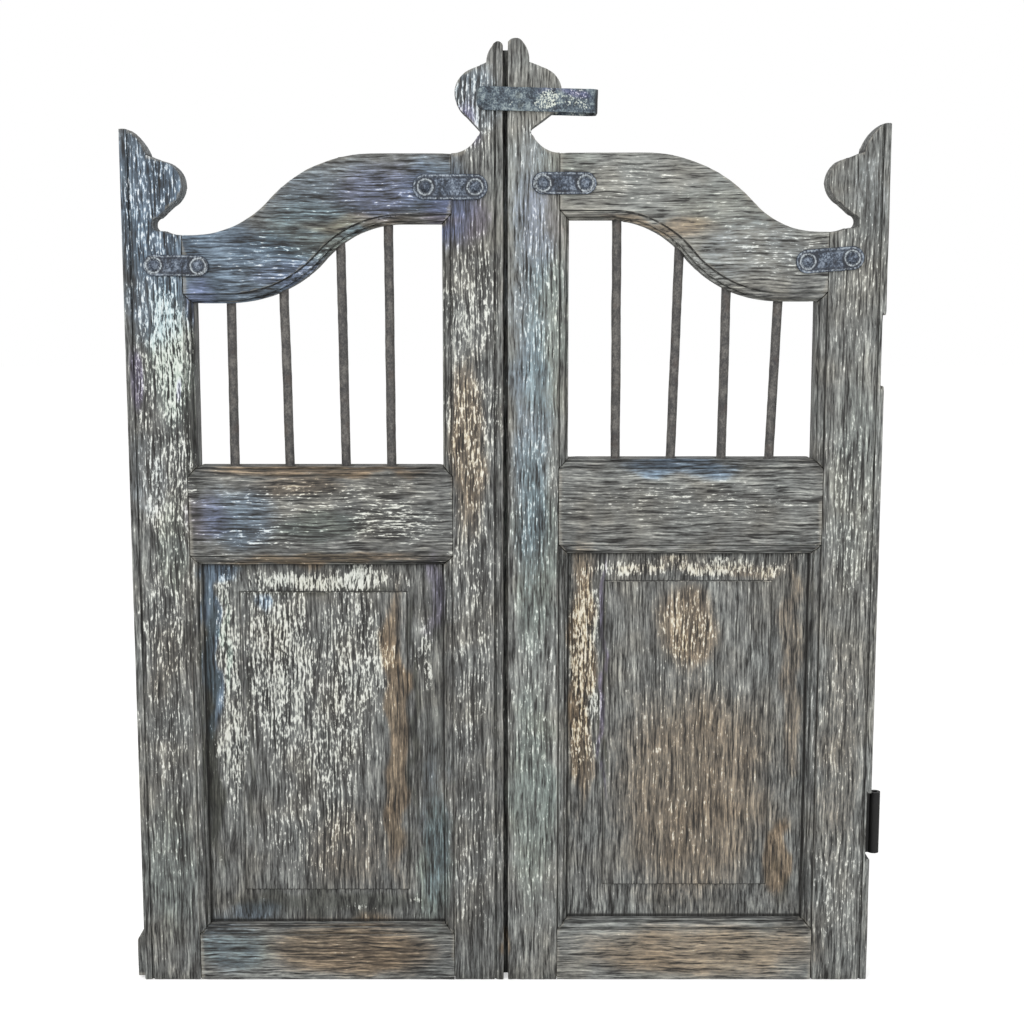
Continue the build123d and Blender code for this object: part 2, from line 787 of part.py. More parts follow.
def joint_plate(side, end):
    key = f"{side}_{end}"
    on_face = Plane.XZ.offset(half)
    outer_face = Plane.XZ.offset(half + plate_thick)
    with BuildPart() as iron:
        with BuildSketch(on_face):
            with Locations(Location(plate_middle(side, end), plate_tilt_deg[key])):
                SlotOverall(plate_length[key], plate_width[key])
        extrude(amount=plate_thick)
        fillet(iron.faces().sort_by(Axis.Y)[0].edges(), plate_edge_round)
        with BuildSketch(outer_face):
            with Locations(*plate_rivet_places(side, end)):
                Circle(rivet_head_diameter / 2 + plate_ring_width)
                Circle(rivet_head_diameter / 2, mode=Mode.SUBTRACT)
        extrude(amount=-plate_ring_depth, mode=Mode.SUBTRACT)
        with BuildSketch(outer_face):
            with Locations(*plate_rivet_places(side, end)):
                Circle(rivet_diameter / 2 + rivet_fit)
        extrude(amount=-plate_thick, mode=Mode.SUBTRACT)
    return finish(iron, f"{key}_joint_plate", side)


def plate_rivets(side):
    """Four rivets with domed heads, closed over the plates and on the back of the leaf."""
    radius = rivet_head_diameter / 2
    dome_radius = (radius**2 + rivet_head_high**2) / (2 * rivet_head_high)
    length = leaf_thick + plate_thick
    with BuildPart() as rivet:
        with BuildSketch(Plane.XY):
            with BuildLine():
                Polyline(
                    (0, length + rivet_head_high),
                    (0, -rivet_head_high),
                )
                RadiusArc((0, -rivet_head_high), (radius, 0), -dome_radius)
                Polyline(
                    (radius, 0),
                    (rivet_diameter / 2, 0),
                    (rivet_diameter / 2, length),
                    (radius, length),
                )
                RadiusArc((radius, length), (0, length + rivet_head_high), -dome_radius)
            make_face()
        revolve(axis=Axis.Y)
    with BuildPart() as group:
        for end in plate_ends:
            for x, z in plate_rivet_places(side, end):
                with Locations((x, -half - plate_thick, z)):
                    add(rivet.part)
    return finish(group, f"{side}_plate_rivets", side)


# Iron hinge eye in the right leaf's lower gain

def screw_places():
    """Points on the eye leaf's outer face, midway between the eye and the leaf's end."""
    x = eye_floor_x + eye_leaf_thick
    y = (eye_diameter / 2 + eye_leaf_rear_y) / 2
    middle = lower_gain_z + gain_height / 2
    pitch = eye_height / screw_count
    return [(x, y, middle + pitch * (i - (screw_count - 1) / 2)) for i in range(screw_count)]


def hinge_eye():
    """An eye out from the leaf's edge, the neck that holds it, and its leaf on the gain's floor."""
    neck_front_y = -eye_leaf_thick / 2
    with BuildPart() as eye:
        with BuildSketch(Plane.XY.offset(lower_gain_z + eye_end_gap)):
            with Locations((eye_axis_x, 0)):
                Circle(eye_diameter / 2)
            with Locations(((eye_floor_x + eye_axis_x) / 2, 0)):
                Rectangle(eye_axis_x - eye_floor_x, eye_leaf_thick)
            with Locations((eye_floor_x + eye_leaf_thick / 2, (neck_front_y + eye_leaf_rear_y) / 2)):
                Rectangle(eye_leaf_thick, eye_leaf_rear_y - neck_front_y)
            with Locations((eye_axis_x, 0)):
                Circle(eye_bore / 2, mode=Mode.SUBTRACT)
        extrude(amount=eye_height)
        for place in screw_places():
            with Locations(Plane(origin=place, z_dir=(1, 0, 0))):
                CounterSinkHole(
                    screw_diameter / 2 + screw_fit,
                    screw_head_diameter / 2 + screw_fit,
                    counter_sink_angle=screw_head_angle,
                )
    return finish(eye, "right_hinge_eye")


def hinge_screws():
    head_high = (screw_head_diameter - screw_diameter) / 2 / math.tan(math.radians(screw_head_angle / 2))
    with BuildPart() as screws:
        for place in screw_places():
            with Locations(Plane(origin=place, z_dir=(1, 0, 0))):
                Cylinder(
                    screw_diameter / 2,
                    screw_length,
                    align=(Align.CENTER, Align.CENTER, Align.MAX),
                )
                Cone(
                    screw_diameter / 2,
                    screw_head_diameter / 2,
                    head_high,
                    align=(Align.CENTER, Align.CENTER, Align.MAX),
                )
    return finish(screws, "right_hinge_screws")


# Strap latch, drawn hanging level and then dropped by its small droop

latch_hinge = Axis((latch_pivot_x, 0, latch_pivot_z), (0, 1, 0))
arm_inner = half + strap_side_gap
arm_outer = arm_inner + strap_thick


def latch_strap():
    tail_x = latch_pivot_x - strap_tail
    inner_radius = strap_bend_radius
    outer_radius = inner_radius + strap_thick
    hole = latch_rivet_diameter / 2 + latch_rivet_fit
    with BuildPart() as strap:
        with BuildSketch(Plane.XY.offset(latch_pivot_z - strap_wide / 2)):
            with BuildLine():
                FilletPolyline(
                    (tail_x, -arm_outer),
                    (strap_end_x, -arm_outer),
                    (strap_end_x, arm_outer),
                    (tail_x, arm_outer),
                    radius=outer_radius,
                )
                Line((tail_x, arm_outer), (tail_x, arm_inner))
                FilletPolyline(
                    (tail_x, arm_inner),
                    (strap_end_x - strap_thick, arm_inner),
                    (strap_end_x - strap_thick, -arm_inner),
                    (tail_x, -arm_inner),
                    radius=inner_radius,
                )
                Line((tail_x, -arm_inner), (tail_x, -arm_outer))
            make_face()
        extrude(amount=strap_wide)
        tail_corners = strap.edges().filter_by(Axis.Y).group_by(Axis.X)[0]
        fillet(tail_corners, strap_corner_round)
        with Locations(Plane(origin=(latch_pivot_x, 0, latch_pivot_z), z_dir=(0, -1, 0))):
            Cylinder(hole, 2 * (arm_outer + overcut), mode=Mode.SUBTRACT)
    strap.part = strap.part.rotate(latch_hinge, latch_droop_deg)
    return finish(strap, "latch_strap")


def latch_rivet():
    shank_end = arm_outer + latch_head_gap
    radius = latch_head_diameter / 2
    dome_radius = (radius**2 + latch_head_high**2) / (2 * latch_head_high)
    with BuildPart() as rivet:
        with BuildSketch(Plane.XY):
            with BuildLine():
                Line((0, shank_end + latch_head_high), (0, -shank_end - latch_head_high))
                RadiusArc((0, -shank_end - latch_head_high), (radius, -shank_end), -dome_radius)
                Polyline(
                    (radius, -shank_end),
                    (latch_rivet_diameter / 2, -shank_end),
                    (latch_rivet_diameter / 2, shank_end),
                    (radius, shank_end),
                )
                RadiusArc((radius, shank_end), (0, shank_end + latch_head_high), -dome_radius)
            make_face()
        revolve(axis=Axis.Y)
    rivet.part = rivet.part.moved(Location((latch_pivot_x, 0, latch_pivot_z)))
    return finish(rivet, "latch_rivet")


for side in ("left", "right"):
    hinge_stile(side)
    meeting_stile(side)
    top_rail(side)
    mid_rail(side)
    bottom_rail(side)
    panel(side)
    for number in range(1, len(bar_foot_shares[side]) + 1):
        bar(side, number)
    for end in plate_ends:
        joint_plate(side, end)
    plate_rivets(side)
hinge_eye()
hinge_screws()
latch_strap()
latch_rivet()
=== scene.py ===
import math

import bmesh
import bpy
import numpy as np
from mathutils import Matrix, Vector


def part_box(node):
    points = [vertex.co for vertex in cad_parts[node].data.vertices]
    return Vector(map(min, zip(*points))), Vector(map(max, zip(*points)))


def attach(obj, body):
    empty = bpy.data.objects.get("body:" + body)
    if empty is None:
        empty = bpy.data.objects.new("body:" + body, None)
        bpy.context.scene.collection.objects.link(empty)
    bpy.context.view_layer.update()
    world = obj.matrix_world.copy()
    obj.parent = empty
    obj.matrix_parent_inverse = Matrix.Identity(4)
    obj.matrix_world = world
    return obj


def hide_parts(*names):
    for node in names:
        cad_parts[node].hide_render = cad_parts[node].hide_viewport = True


# Saloon door leaves in old teak, worn back by hand from many coats of paint, with forged ironwork.
# Metres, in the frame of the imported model: the front of the leaves faces -Y.

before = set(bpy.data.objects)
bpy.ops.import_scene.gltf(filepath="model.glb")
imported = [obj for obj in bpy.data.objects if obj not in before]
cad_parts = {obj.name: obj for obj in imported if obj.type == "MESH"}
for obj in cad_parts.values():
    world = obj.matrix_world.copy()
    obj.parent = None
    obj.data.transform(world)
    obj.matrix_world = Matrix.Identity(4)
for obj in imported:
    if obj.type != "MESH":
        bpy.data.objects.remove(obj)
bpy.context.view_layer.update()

MM = 0.001
LEAVES = "leaves"
# The stiles' front, and how far behind it splits and dents still reach
FACE_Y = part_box("left_hinge_stile")[0][1]
FRONT_REACH = 14 * MM
# Points closer than this are one point
TRIM = 1e-6
# Faces that meet at less than this many degrees are one flat face
FLAT = 0.8
# An edge that turns more than this many degrees is an arris or an inner corner
SHARP = 25


# Smooth random fields, worked out for whole arrays of points

def lattice_noise(points, seed):
    """Noise from 0 to 1: a random value on each whole-number point, eased from cell to cell
    by 3t^2 - 2t^3 along each axis."""
    cell = np.floor(points).astype(np.int64)
    ease = points - cell
    ease = ease * ease * (3 - 2 * ease)
    total = np.zeros(len(points))
    for corner in range(8):
        step = np.array([corner & 1, corner >> 1 & 1, corner >> 2 & 1])
        key = (cell + step) @ np.array([73856093, 19349663, 83492791]) + seed * 26544357
        key = (key ^ key >> 13) * 1274126177 & 0xFFFFFFFF
        key = (key ^ key >> 16) * 60493 & 0xFFFFFF
        total += np.prod(np.where(step, ease, 1 - ease), axis=1) * key / 0xFFFFFF
    return total


def streaks(points, across, along, upright, seed):
    """Noise drawn out along the grain: the points are divided by the streak's width and length,
    and bent sideways by a slower noise so that no streak is straight."""
    size = np.array([across, across, along] if upright else [along, across, across])
    bend = (lattice_noise(points / (12 * across, 1.0, 4 * along), seed + 7) - 0.5) * 3 * across
    bent = points.copy()
    bent[:, 0 if upright else 2] += bend
    return lattice_noise(bent / size, seed)


# Skins of the CAD pieces, cut fine enough to carry relief

# What counts as a long level edge, and how far from it the skin is cut
LONG_EDGE = 100 * MM
LEVEL_WITHIN = 0.5 * MM
BESIDE_LINE = 1.8 * MM
# How far inside its ends a skin is cut once more
END_CUT = 1.5 * MM


def level_lines(mesh):
    """Heights close below and above each long level edge of a skin."""
    heights = set()
    for edge in mesh.edges:
        run = edge.verts[1].co - edge.verts[0].co
        if abs(run.x) > LONG_EDGE and abs(run.z) < LEVEL_WITHIN:
            heights.add(round(edge.verts[0].co.z, 4))
    return [height + step for height in sorted(heights) for step in (-BESIDE_LINE, BESIDE_LINE)]


def diced_skin(node, pitch, levels=()):
    """A CAD piece's skin with its triangles merged back to flat faces, then cut by planes at the
    given pitch along X, Y and Z, once more close inside each end, and, where levels are given, at
    them and beside the skin's own level lines."""
    mesh = bmesh.new()
    mesh.from_mesh(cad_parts[node].data)
    bmesh.ops.remove_doubles(mesh, verts=mesh.verts, dist=TRIM)
    bmesh.ops.dissolve_limit(
        mesh, angle_limit=math.radians(FLAT), verts=mesh.verts, edges=mesh.edges
    )
    low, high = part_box(node)
    if len(levels):
        levels = [*levels, *level_lines(mesh)]
    order = sorted(range(3), key=lambda axis: pitch[axis])
    for axis in order:
        normal = [float(axis == k) for k in range(3)]
        count = max(1, round((high[axis] - low[axis]) / pitch[axis]))
        inner = np.linspace(low[axis], high[axis], count + 1)[1:-1]
        ends = [low[axis] + END_CUT, high[axis] - END_CUT]
        for place in [*ends, *inner, *(levels if axis == 2 else ())]:
            origin = [place * part for part in normal]
            parts = mesh.verts[:] + mesh.edges[:] + mesh.faces[:]
            bmesh.ops.bisect_plane(
                mesh, geom=parts, dist=TRIM, plane_co=origin, plane_no=normal
            )
    skin = bpy.data.meshes.new(node + "_skin")
    mesh.to_mesh(skin)
    mesh.free()
    return skin


def read_array(collection, field, width, kind=np.float32):
    """One field of a mesh's parts as an array with a row for each part."""
    values = np.empty(len(collection) * width, kind)
    collection.foreach_get(field, values)
    return values.reshape(-1, width) if width > 1 else values


def edge_lines(skin, points):
    """Two marks for each vertex: 1 on a sharp convex edge, where the far face's middle lies
    behind the near face's plane, and 1 on a sharp concave edge, where it lies in front."""
    loops = read_array(skin.loops, "edge_index", 1, np.int32)
    sizes = read_array(skin.polygons, "loop_total", 1, np.int32)
    normals = read_array(skin.polygons, "normal", 3)
    middles = read_array(skin.polygons, "center", 3)
    edges = read_array(skin.edges, "vertices", 2, np.int32)
    faces = np.repeat(np.arange(len(sizes)), sizes)
    order = np.argsort(loops, kind="stable")
    shared = np.bincount(loops, minlength=len(edges)) == 2
    kept = shared[loops[order]]
    pairs = faces[order][kept].reshape(-1, 2)
    bend = np.einsum("ij,ij->i", normals[pairs[:, 0]], normals[pairs[:, 1]])
    step = middles[pairs[:, 1]] - middles[pairs[:, 0]]
    behind = np.einsum("ij,ij->i", step, normals[pairs[:, 0]])
    turned = bend < math.cos(math.radians(SHARP))
    marks = np.zeros((2, len(points)))
    for mark, side in zip(marks, (behind < 0, behind > 0)):
        mark[edges[shared][turned & side].ravel()] = 1.0
    return marks


def store_marks(skin, marks):
    """Store each mark's values at the vertices, for the materials to read by its name."""
    for mark, values in marks.items():
        layer = skin.attributes.new(mark, "FLOAT", "POINT")
        layer.data.foreach_set("value", values.astype(np.float32))


def place_piece(name, mesh, body, material, slot, *nodes):
    """Show a finished mesh on its body, with its material, in place of its CAD nodes."""
    piece = bpy.data.objects.new(name, mesh)
    bpy.context.scene.collection.objects.link(piece)
    mesh.materials.clear()
    mesh.materials.append(material)
    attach(piece, body)
    if nodes:
        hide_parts(*nodes)
    return piece


def smooth_faces(mesh, degrees=38):
    """Round shading, kept crisp at edges that turn more than the given angle."""
    mesh.polygons.foreach_set("use_smooth", np.ones(len(mesh.polygons), bool))
    mesh.set_sharp_from_angle(angle=math.radians(degrees))
    mesh.update()


# Paint that is left: middle x and z, half width and half height, all mm, and strength.
# Cream is chalky and lies on top. Slate, teal, brown and plum stain what is under them. Soot is
# dirt that darkens, and painted shade as well, along the panels' sight lines and field edges and
# beside the gap between the leaves; pale is wood rubbed or bleached lighter.

CREAM = [
    (-425, 1000, 40, 110, 0.40), (-425, 880, 40, 40, 0.36), (-408, 800, 26, 90, 0.64),
    (-445, 780, 14, 110, 0.42), (-415, 640, 36, 90, 0.44), (-420, 480, 40, 100, 0.38),
    (-425, 330, 36, 110, 0.28), (-425, 200, 36, 80, 0.26), (-270, 915, 70, 26, 0.30),
    (-170, 990, 110, 30, 0.16), (-45, 1090, 34, 50, 0.44), (-42, 860, 34, 90, 0.42),
    (-40, 720, 34, 90, 0.42), (-42, 560, 34, 90, 0.34), (-40, 400, 34, 120, 0.30),
    (-40, 180, 34, 120, 0.26), (-230, 625, 120, 22, 0.34), (-150, 600, 60, 26, 0.44),
    (-300, 580, 60, 14, 0.32), (-230, 522, 95, 14, 0.70), (-350, 380, 20, 150, 0.56),
    (-280, 400, 50, 110, 0.52), (-230, 330, 60, 100, 0.44), (-190, 420, 44, 100, 0.46),
    (-300, 440, 24, 90, 0.50), (-100, 430, 9, 60, 0.46),
    (-240, 200, 80, 60, 0.32), (-100, 440, 14, 60, 0.28), (-194, 92, 30, 6, 0.60),
    (-119, 98, 7, 8, 0.70), (40, 1070, 34, 60, 0.28), (40, 880, 34, 110, 0.34),
    (38, 640, 34, 120, 0.32), (38, 380, 34, 120, 0.28), (38, 150, 34, 100, 0.22),
    (150, 1015, 60, 26, 0.25), (330, 930, 60, 30, 0.32), (250, 985, 60, 30, 0.20),
    (230, 620, 130, 26, 0.28), (230, 537, 140, 12, 0.58), (100, 400, 18, 130, 0.56),
    (228, 460, 36, 50, 0.42), (230, 300, 90, 150, 0.20), (425, 900, 36, 120, 0.28),
    (425, 600, 36, 120, 0.32), (420, 350, 36, 120, 0.24), (420, 120, 36, 90, 0.30),
    (430, 1010, 34, 60, 0.16), (60, 1112, 5, 7, 0.90),
]
SLATE = [
    (-425, 1000, 44, 120, 0.90), (-425, 860, 40, 50, 0.55), (-330, 900, 110, 60, 0.90),
    (-190, 985, 110, 50, 0.50), (-90, 985, 50, 60, 0.65), (-45, 1100, 40, 50, 0.50),
    (-372, 440, 8, 120, 0.95), (-360, 530, 30, 14, 0.85), (-306, 498, 9, 11, 1.00),
    (-330, 600, 50, 40, 0.60), (-440, 650, 20, 60, 0.35), (-90, 200, 20, 120, 0.40),
    (-350, 50, 40, 40, 0.45), (-320, 92, 40, 12, 0.60), (220, 664, 70, 14, 0.80),
    (30, 700, 26, 200, 0.50),
    (30, 950, 26, 120, 0.45), (300, 930, 90, 40, 0.30), (440, 1000, 20, 50, 0.25),
]
TEAL = [
    (-410, 800, 30, 90, 0.55), (-230, 950, 80, 40, 0.50), (-425, 150, 40, 100, 0.40),
    (-355, 440, 6, 60, 0.70), (-230, 590, 60, 20, 0.50), (-90, 150, 24, 90, 0.55),
    (35, 560, 30, 150, 0.50), (35, 250, 30, 160, 0.50), (50, 820, 30, 120, 0.45),
    (430, 650, 34, 160, 0.30), (70, 1040, 40, 60, 0.35), (-350, 40, 50, 30, 0.45),
    (-410, 560, 20, 60, 0.45), (270, 980, 80, 30, 0.30),
]
BROWN = [
    (-139, 320, 15, 170, 1.00), (-45, 690, 22, 110, 0.65), (-230, 660, 130, 8, 0.80),
    (-230, 548, 130, 9, 0.70), (-200, 40, 100, 34, 0.85), (-260, 640, 60, 16, 0.50),
    (95, 400, 16, 160, 0.90), (230, 460, 40, 50, 0.70), (240, 250, 100, 140, 0.60),
    (350, 160, 14, 50, 1.00), (250, 40, 150, 34, 0.65), (165, 955, 90, 14, 0.60),
    (-150, 962, 90, 12, 0.80), (-3, 45, 8, 10, 1.00), (420, 300, 30, 160, 0.35),
    (245, 537, 120, 14, 0.50), (360, 400, 14, 160, 0.50), (-200, 180, 60, 60, 0.40),
    (-430, 420, 20, 60, 0.30),
]
PLUM = [
    (-455, 778, 8, 36, 0.90), (-399, 759, 4, 12, 1.00), (-48, 1080, 20, 26, 0.85),
    (-150, 1000, 60, 40, 0.50), (-60, 970, 40, 40, 0.60), (-370, 600, 30, 30, 0.50),
    (40, 960, 30, 60, 0.35), (-250, 900, 60, 20, 0.40), (121, 400, 3, 150, 0.90),
    (-90, 500, 12, 60, 0.60), (-375, 870, 20, 30, 0.50),
]
# Soot patches along the panels' edges and beside the leaves' meeting gap are painted shade as well
# as dirt
SOOT_AND_SHADE = [
    (-371, 330, 9, 200, 0.85), (-386, 700, 8, 180, 0.60), (-95, 330, 16, 200, 0.45),
    (-119, 330, 5, 190, 0.70), (-240, 546, 140, 9, 0.55), (-230, 95, 150, 20, 0.65),
    (-456, 960, 7, 120, 0.50), (-382, 1003, 9, 50, 0.60), (352, 120, 7, 50, 0.60),
    (121, 400, 3, 150, 0.95), (250, 94, 130, 9, 0.45), (-90, 570, 20, 40, 0.30),
    (-330, 120, 40, 40, 0.30), (-240, 511, 110, 5, 0.70), (-325, 320, 4, 190, 0.60),
    (-60, 1130, 16, 30, 0.40),
    (455, 900, 6, 200, 0.35), (-9, 600, 5, 560, 0.45), (9, 600, 5, 560, 0.30),
]
PALE = [
    (40, 900, 60, 300, 0.85), (40, 300, 50, 330, 0.60), (230, 980, 200, 90, 0.95),
    (230, 610, 200, 60, 0.50), (230, 300, 160, 260, 0.40), (230, 40, 180, 50, 0.75),
    (425, 800, 50, 350, 0.55), (425, 250, 50, 330, 0.50), (425, 1010, 50, 90, 0.60),
    (-40, 850, 40, 200, 0.25), (-405, 800, 30, 100, 0.35),
]
COATS = {
    "cream": CREAM, "slate": SLATE, "teal": TEAL, "brown": BROWN, "plum": PLUM,
    "soot_and_shade": SOOT_AND_SHADE, "pale": PALE,
}


# A patch's outline wanders by up to half of PATCH_DRIFT mm over lengths of PATCH_WAVE, and the
# patch has faded out at PATCH_END times its half sizes
PATCH_WAVE = 30 * MM
PATCH_DRIFT = 22
PATCH_END = 1.55


def coverage(points, patches, seed):
    """How much of one coat is left: the strongest patch at each point, fading over the patch's
    own size by 3t^2 - 2t^3, with its outline pushed about by a slow noise."""
    drift = np.stack([
        lattice_noise(points / PATCH_WAVE + k, seed + k) - 0.5 for k in range(2)
    ], axis=1)
    flat = points[:, [0, 2]] / MM + drift * PATCH_DRIFT
    left = np.zeros(len(points))
    for x, z, half_x, half_z, strength in patches:
        reach = np.hypot((flat[:, 0] - x) / half_x, (flat[:, 1] - z) / half_z)
        fade = np.clip(PATCH_END - reach, 0, 1)
        left = np.maximum(left, strength * fade * fade * (3 - 2 * fade))
    return left


# Damage: a split's x, foot and head, half width and depth, all mm

SPLITS = [
    (404, 235, 330, 1.6, 2.2), (408, 170, 250, 1.2, 1.6), (-436, 350, 540, 1.2, 1.2),
    (-18, 60, 330, 1.2, 1.2), (52, 40, 210, 1.2, 1.5), (-430, 20, 160, 1.4, 1.5),
    (436, 700, 900, 1.2, 1.2), (25, 760, 930, 1.2, 1.0), (-262, 130, 420, 1.0, 0.9),
    (-180, 200, 470, 1.0, 0.9), (205, 120, 360, 1.0, 0.9), (300, 240, 470, 1.0, 0.8),
]

# Chips and dents: middle x and z, half width and half height, depth, all mm
DENTS = [
    (-401, 551, 5, 20, 3.5), (430, 752, 3, 9, 1.5), (424, 745, 2.5, 7, 1.2),
    (245, 930, 6, 4, 2.2), (404, 300, 7, 12, 2.0), (-455, 300, 4, 16, 1.8),
    (458, 560, 4, 14, 1.8), (-5, 860, 3, 18, 1.4), (8, 350, 3, 16, 1.5),
    (-300, 660, 12, 3, 1.2), (215, 669, 14, 3, 1.2), (-130, 600, 7, 4, 0.9),
]


# Streaks that weather has sunk into the wood: width, length, and greatest depth in mm
FINE_STREAK = (3.4 * MM, 60 * MM, 0.55)
BROAD_STREAK = (12 * MM, 220 * MM, 0.6)
# A split sways by up to half of this many mm over lengths of SWAY_WAVE, and runs out in RUN_OUT mm
SPLIT_SWAY = 5
SWAY_WAVE = 40 * MM
RUN_OUT = 30
# How steeply a dent's wall rises
DENT_WALL = 1.2


def wood_relief(points, upright, seed):
    """Depth in metres that weather has taken from the wood: fine and squared broad streaks along
    the grain, then splits of exp(-t^2) across and dents of exp(-r^2) on the front."""
    fine = streaks(points, *FINE_STREAK[:2], upright, seed)
    broad = streaks(points, *BROAD_STREAK[:2], upright, seed + 3)
    depth = (FINE_STREAK[2] * fine + BROAD_STREAK[2] * broad ** 2) * MM
    x, z = points[:, 0] / MM, points[:, 2] / MM
    on_front = points[:, 1] < FACE_Y + FRONT_REACH
    if upright:
        for place, foot, head, half_wide, deep in SPLITS:
            sway = (lattice_noise(points / SWAY_WAVE, int(place) + 900) - 0.5) * SPLIT_SWAY
            taper = np.clip((z - foot) / RUN_OUT, 0, 1) * np.clip((head - z) / RUN_OUT, 0, 1)
            notch = np.exp(-((x + sway - place) / half_wide) ** 2)
            depth += on_front * deep * taper * notch * MM
    for place, level, half_x, half_z, deep in DENTS:
        reach = ((x - place) / half_x) ** 2 + ((z - level) / half_z) ** 2
        depth += on_front * deep * np.exp(-reach * DENT_WALL) * MM
    return depth


# Depth worn off an arris, and off one on the outline, which lies this near to the piece's box
WEAR = 0.35 * MM
OUTLINE_WEAR = 1.1 * MM
ON_OUTLINE = 0.2 * MM
PATCHY_WAVE = 18 * MM
# Cuts across the grain are fine, those through the thickness and along the grain are coarse
ACROSS_CUT, THROUGH_CUT, ALONG_CUT = 1.7 * MM, 4 * MM, 14 * MM
# Cuts at a panel's sight lines and just inside them, and how far its dirt and painted shade reach
# from them, in mm
SIGHT_CUTS = (0, 2, 5)
SIGHT_DIRT_AND_SHADE = 2.4 * MM
# A face that looks forward by more than this carries its coats in full, any other less than half
LOOKS_FORWARD = -0.3
BACK_SHARE = 0.45


def sight_opening(side):
    """Least and greatest x and z of a panel's opening: the inner edges of its stiles and rails."""
    stiles = [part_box(f"{side}_{member}_stile") for member in ("hinge", "meeting")]
    stiles.sort(key=lambda box: box[0][0])
    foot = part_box(f"{side}_bottom_rail")[1][2]
    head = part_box(f"{side}_mid_rail")[0][2]
    return np.array([(stiles[0][1][0], foot), (stiles[1][0][0], head)])


def weathered_member(node, upright, material, slot, seed):
    """One member of a leaf: its CAD skin, sunk along its normals by the wood's relief and more on
    its arrises, with the coats of paint that are left stored at each vertex. Dirt and painted shade
    fade from a panel's sight lines by exp(-t^2), and darken its inner corners."""
    pitch = (ACROSS_CUT, THROUGH_CUT, ALONG_CUT)
    if not upright:
        pitch = pitch[::-1]
    levels, sight = (), None
    if node.endswith("panel"):
        sight = sight_opening(node.split("_")[0])
        levels = [
            sight[end, 1] + inward * cut * MM
            for end, inward in ((0, 1), (1, -1)) for cut in SIGHT_CUTS
        ]
    skin = diced_skin(node, pitch, levels)
    points = read_array(skin.vertices, "co", 3).astype(float)
    normals = read_array(skin.vertices, "normal", 3)
    worn, crevice_dirt_and_shade = edge_lines(skin, points)
    # Painted shade, with dirt, that fades from the panel's sight lines
    if sight is not None:
        flat = points[:, [0, 2]]
        inside = np.minimum(flat - sight[0], sight[1] - flat).min(axis=1)
        crevice_dirt_and_shade = np.maximum(crevice_dirt_and_shade, np.exp(-(np.maximum(inside, 0) / SIGHT_DIRT_AND_SHADE) ** 2))
    patchy = lattice_noise(points / PATCHY_WAVE, seed + 20)
    low, high = (np.array(corner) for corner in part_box(node))
    rim = np.minimum(points - low, high - points)[:, [0, 2]].min(axis=1) < ON_OUTLINE
    wear = worn * (WEAR + (OUTLINE_WEAR - WEAR) * rim) * (0.4 + 1.2 * patchy)
    sunk = points - normals * (wood_relief(points, upright, seed) + wear)[:, None]
    skin.vertices.foreach_set("co", sunk.astype(np.float32).ravel())
    marks = {}
    for number, (coat, patches) in enumerate(COATS.items()):
        marks[coat] = coverage(points, patches, 40 + 10 * number)
        marks[coat] *= np.where(normals[:, 1] < LOOKS_FORWARD, 1.0, BACK_SHARE)
    marks["arris"] = worn * (0.3 + 0.7 * patchy)
    marks["crevice_dirt_and_shade"] = crevice_dirt_and_shade
    store_marks(skin, marks)
    smooth_faces(skin)
    return place_piece(node + "_wood", skin, LEAVES, material, slot, node)


# Materials

def linear(colour):
    """An sRGB hex colour as linear RGBA."""
    parts = [int(colour[k:k + 2], 16) / 255 for k in (1, 3, 5)]
    return [p / 12.92 if p <= 0.04045 else ((p + 0.055) / 1.055) ** 2.4 for p in parts] + [1.0]


def add_node(tree, kind, inputs=None, **settings):
    """Add a node, set its settings, and give its inputs values or links."""
    made = tree.nodes.new(kind)
    for name, value in settings.items():
        setattr(made, name, value)
    for name, value in (inputs or {}).items():
        if isinstance(value, bpy.types.NodeSocket):
            tree.links.new(value, made.inputs[name])
        else:
            made.inputs[name].default_value = value
    return made


def new_material(name, roughness, metallic=0.0):
    """An empty material: its tree, its shader and the piece's own coordinates."""
    material = bpy.data.materials.new(name)
    material.use_nodes = True
    tree = material.node_tree
    shader = tree.nodes["Principled BSDF"]
    shader.inputs["Roughness"].default_value = roughness
    shader.inputs["Metallic"].default_value = metallic
    place = add_node(tree, "ShaderNodeTexCoord").outputs["Object"]
    return material, tree, shader, place


def noise_field(tree, place, size_mm, detail=3.0, roughness=0.55):
    """Noise whose features have the given size in mm along X, Y and Z."""
    scale = [1 / (length * MM) for length in size_mm]
    mapping = add_node(tree, "ShaderNodeMapping", {"Vector": place, "Scale": scale})
    return add_node(
        tree,
        "ShaderNodeTexNoise",
        {"Vector": mapping.outputs[0], "Scale": 1.0, "Detail": detail, "Roughness": roughness},
    ).outputs["Fac"]


def ramp(tree, field, stops):
    """Colours along a field, as (place, hex) stops."""
    made = add_node(tree, "ShaderNodeValToRGB", {"Fac": field})
    steps = made.color_ramp.elements
    while len(steps) < len(stops):
        steps.new(0.5)
    for step, (place, colour) in zip(steps, stops):
        step.position = place
        step.color = linear(colour)
    return made.outputs["Color"]


def mix(tree, amount, under, over, blend="MIX"):
    """One colour laid over another."""
    made = add_node(tree, "ShaderNodeMix", data_type="RGBA", blend_type=blend)
    sockets = [made.inputs[k] for k in (0, 6, 7)]
    for socket, value in zip(sockets, (amount, under, over)):
        if isinstance(value, bpy.types.NodeSocket):
            tree.links.new(value, socket)
        else:
            socket.default_value = value
    return made.outputs[2]


def stored_mark(tree, mark):
    """A mark stored at the vertices, 0 where a piece has none."""
    return add_node(tree, "ShaderNodeAttribute", attribute_name=mark).outputs["Fac"]


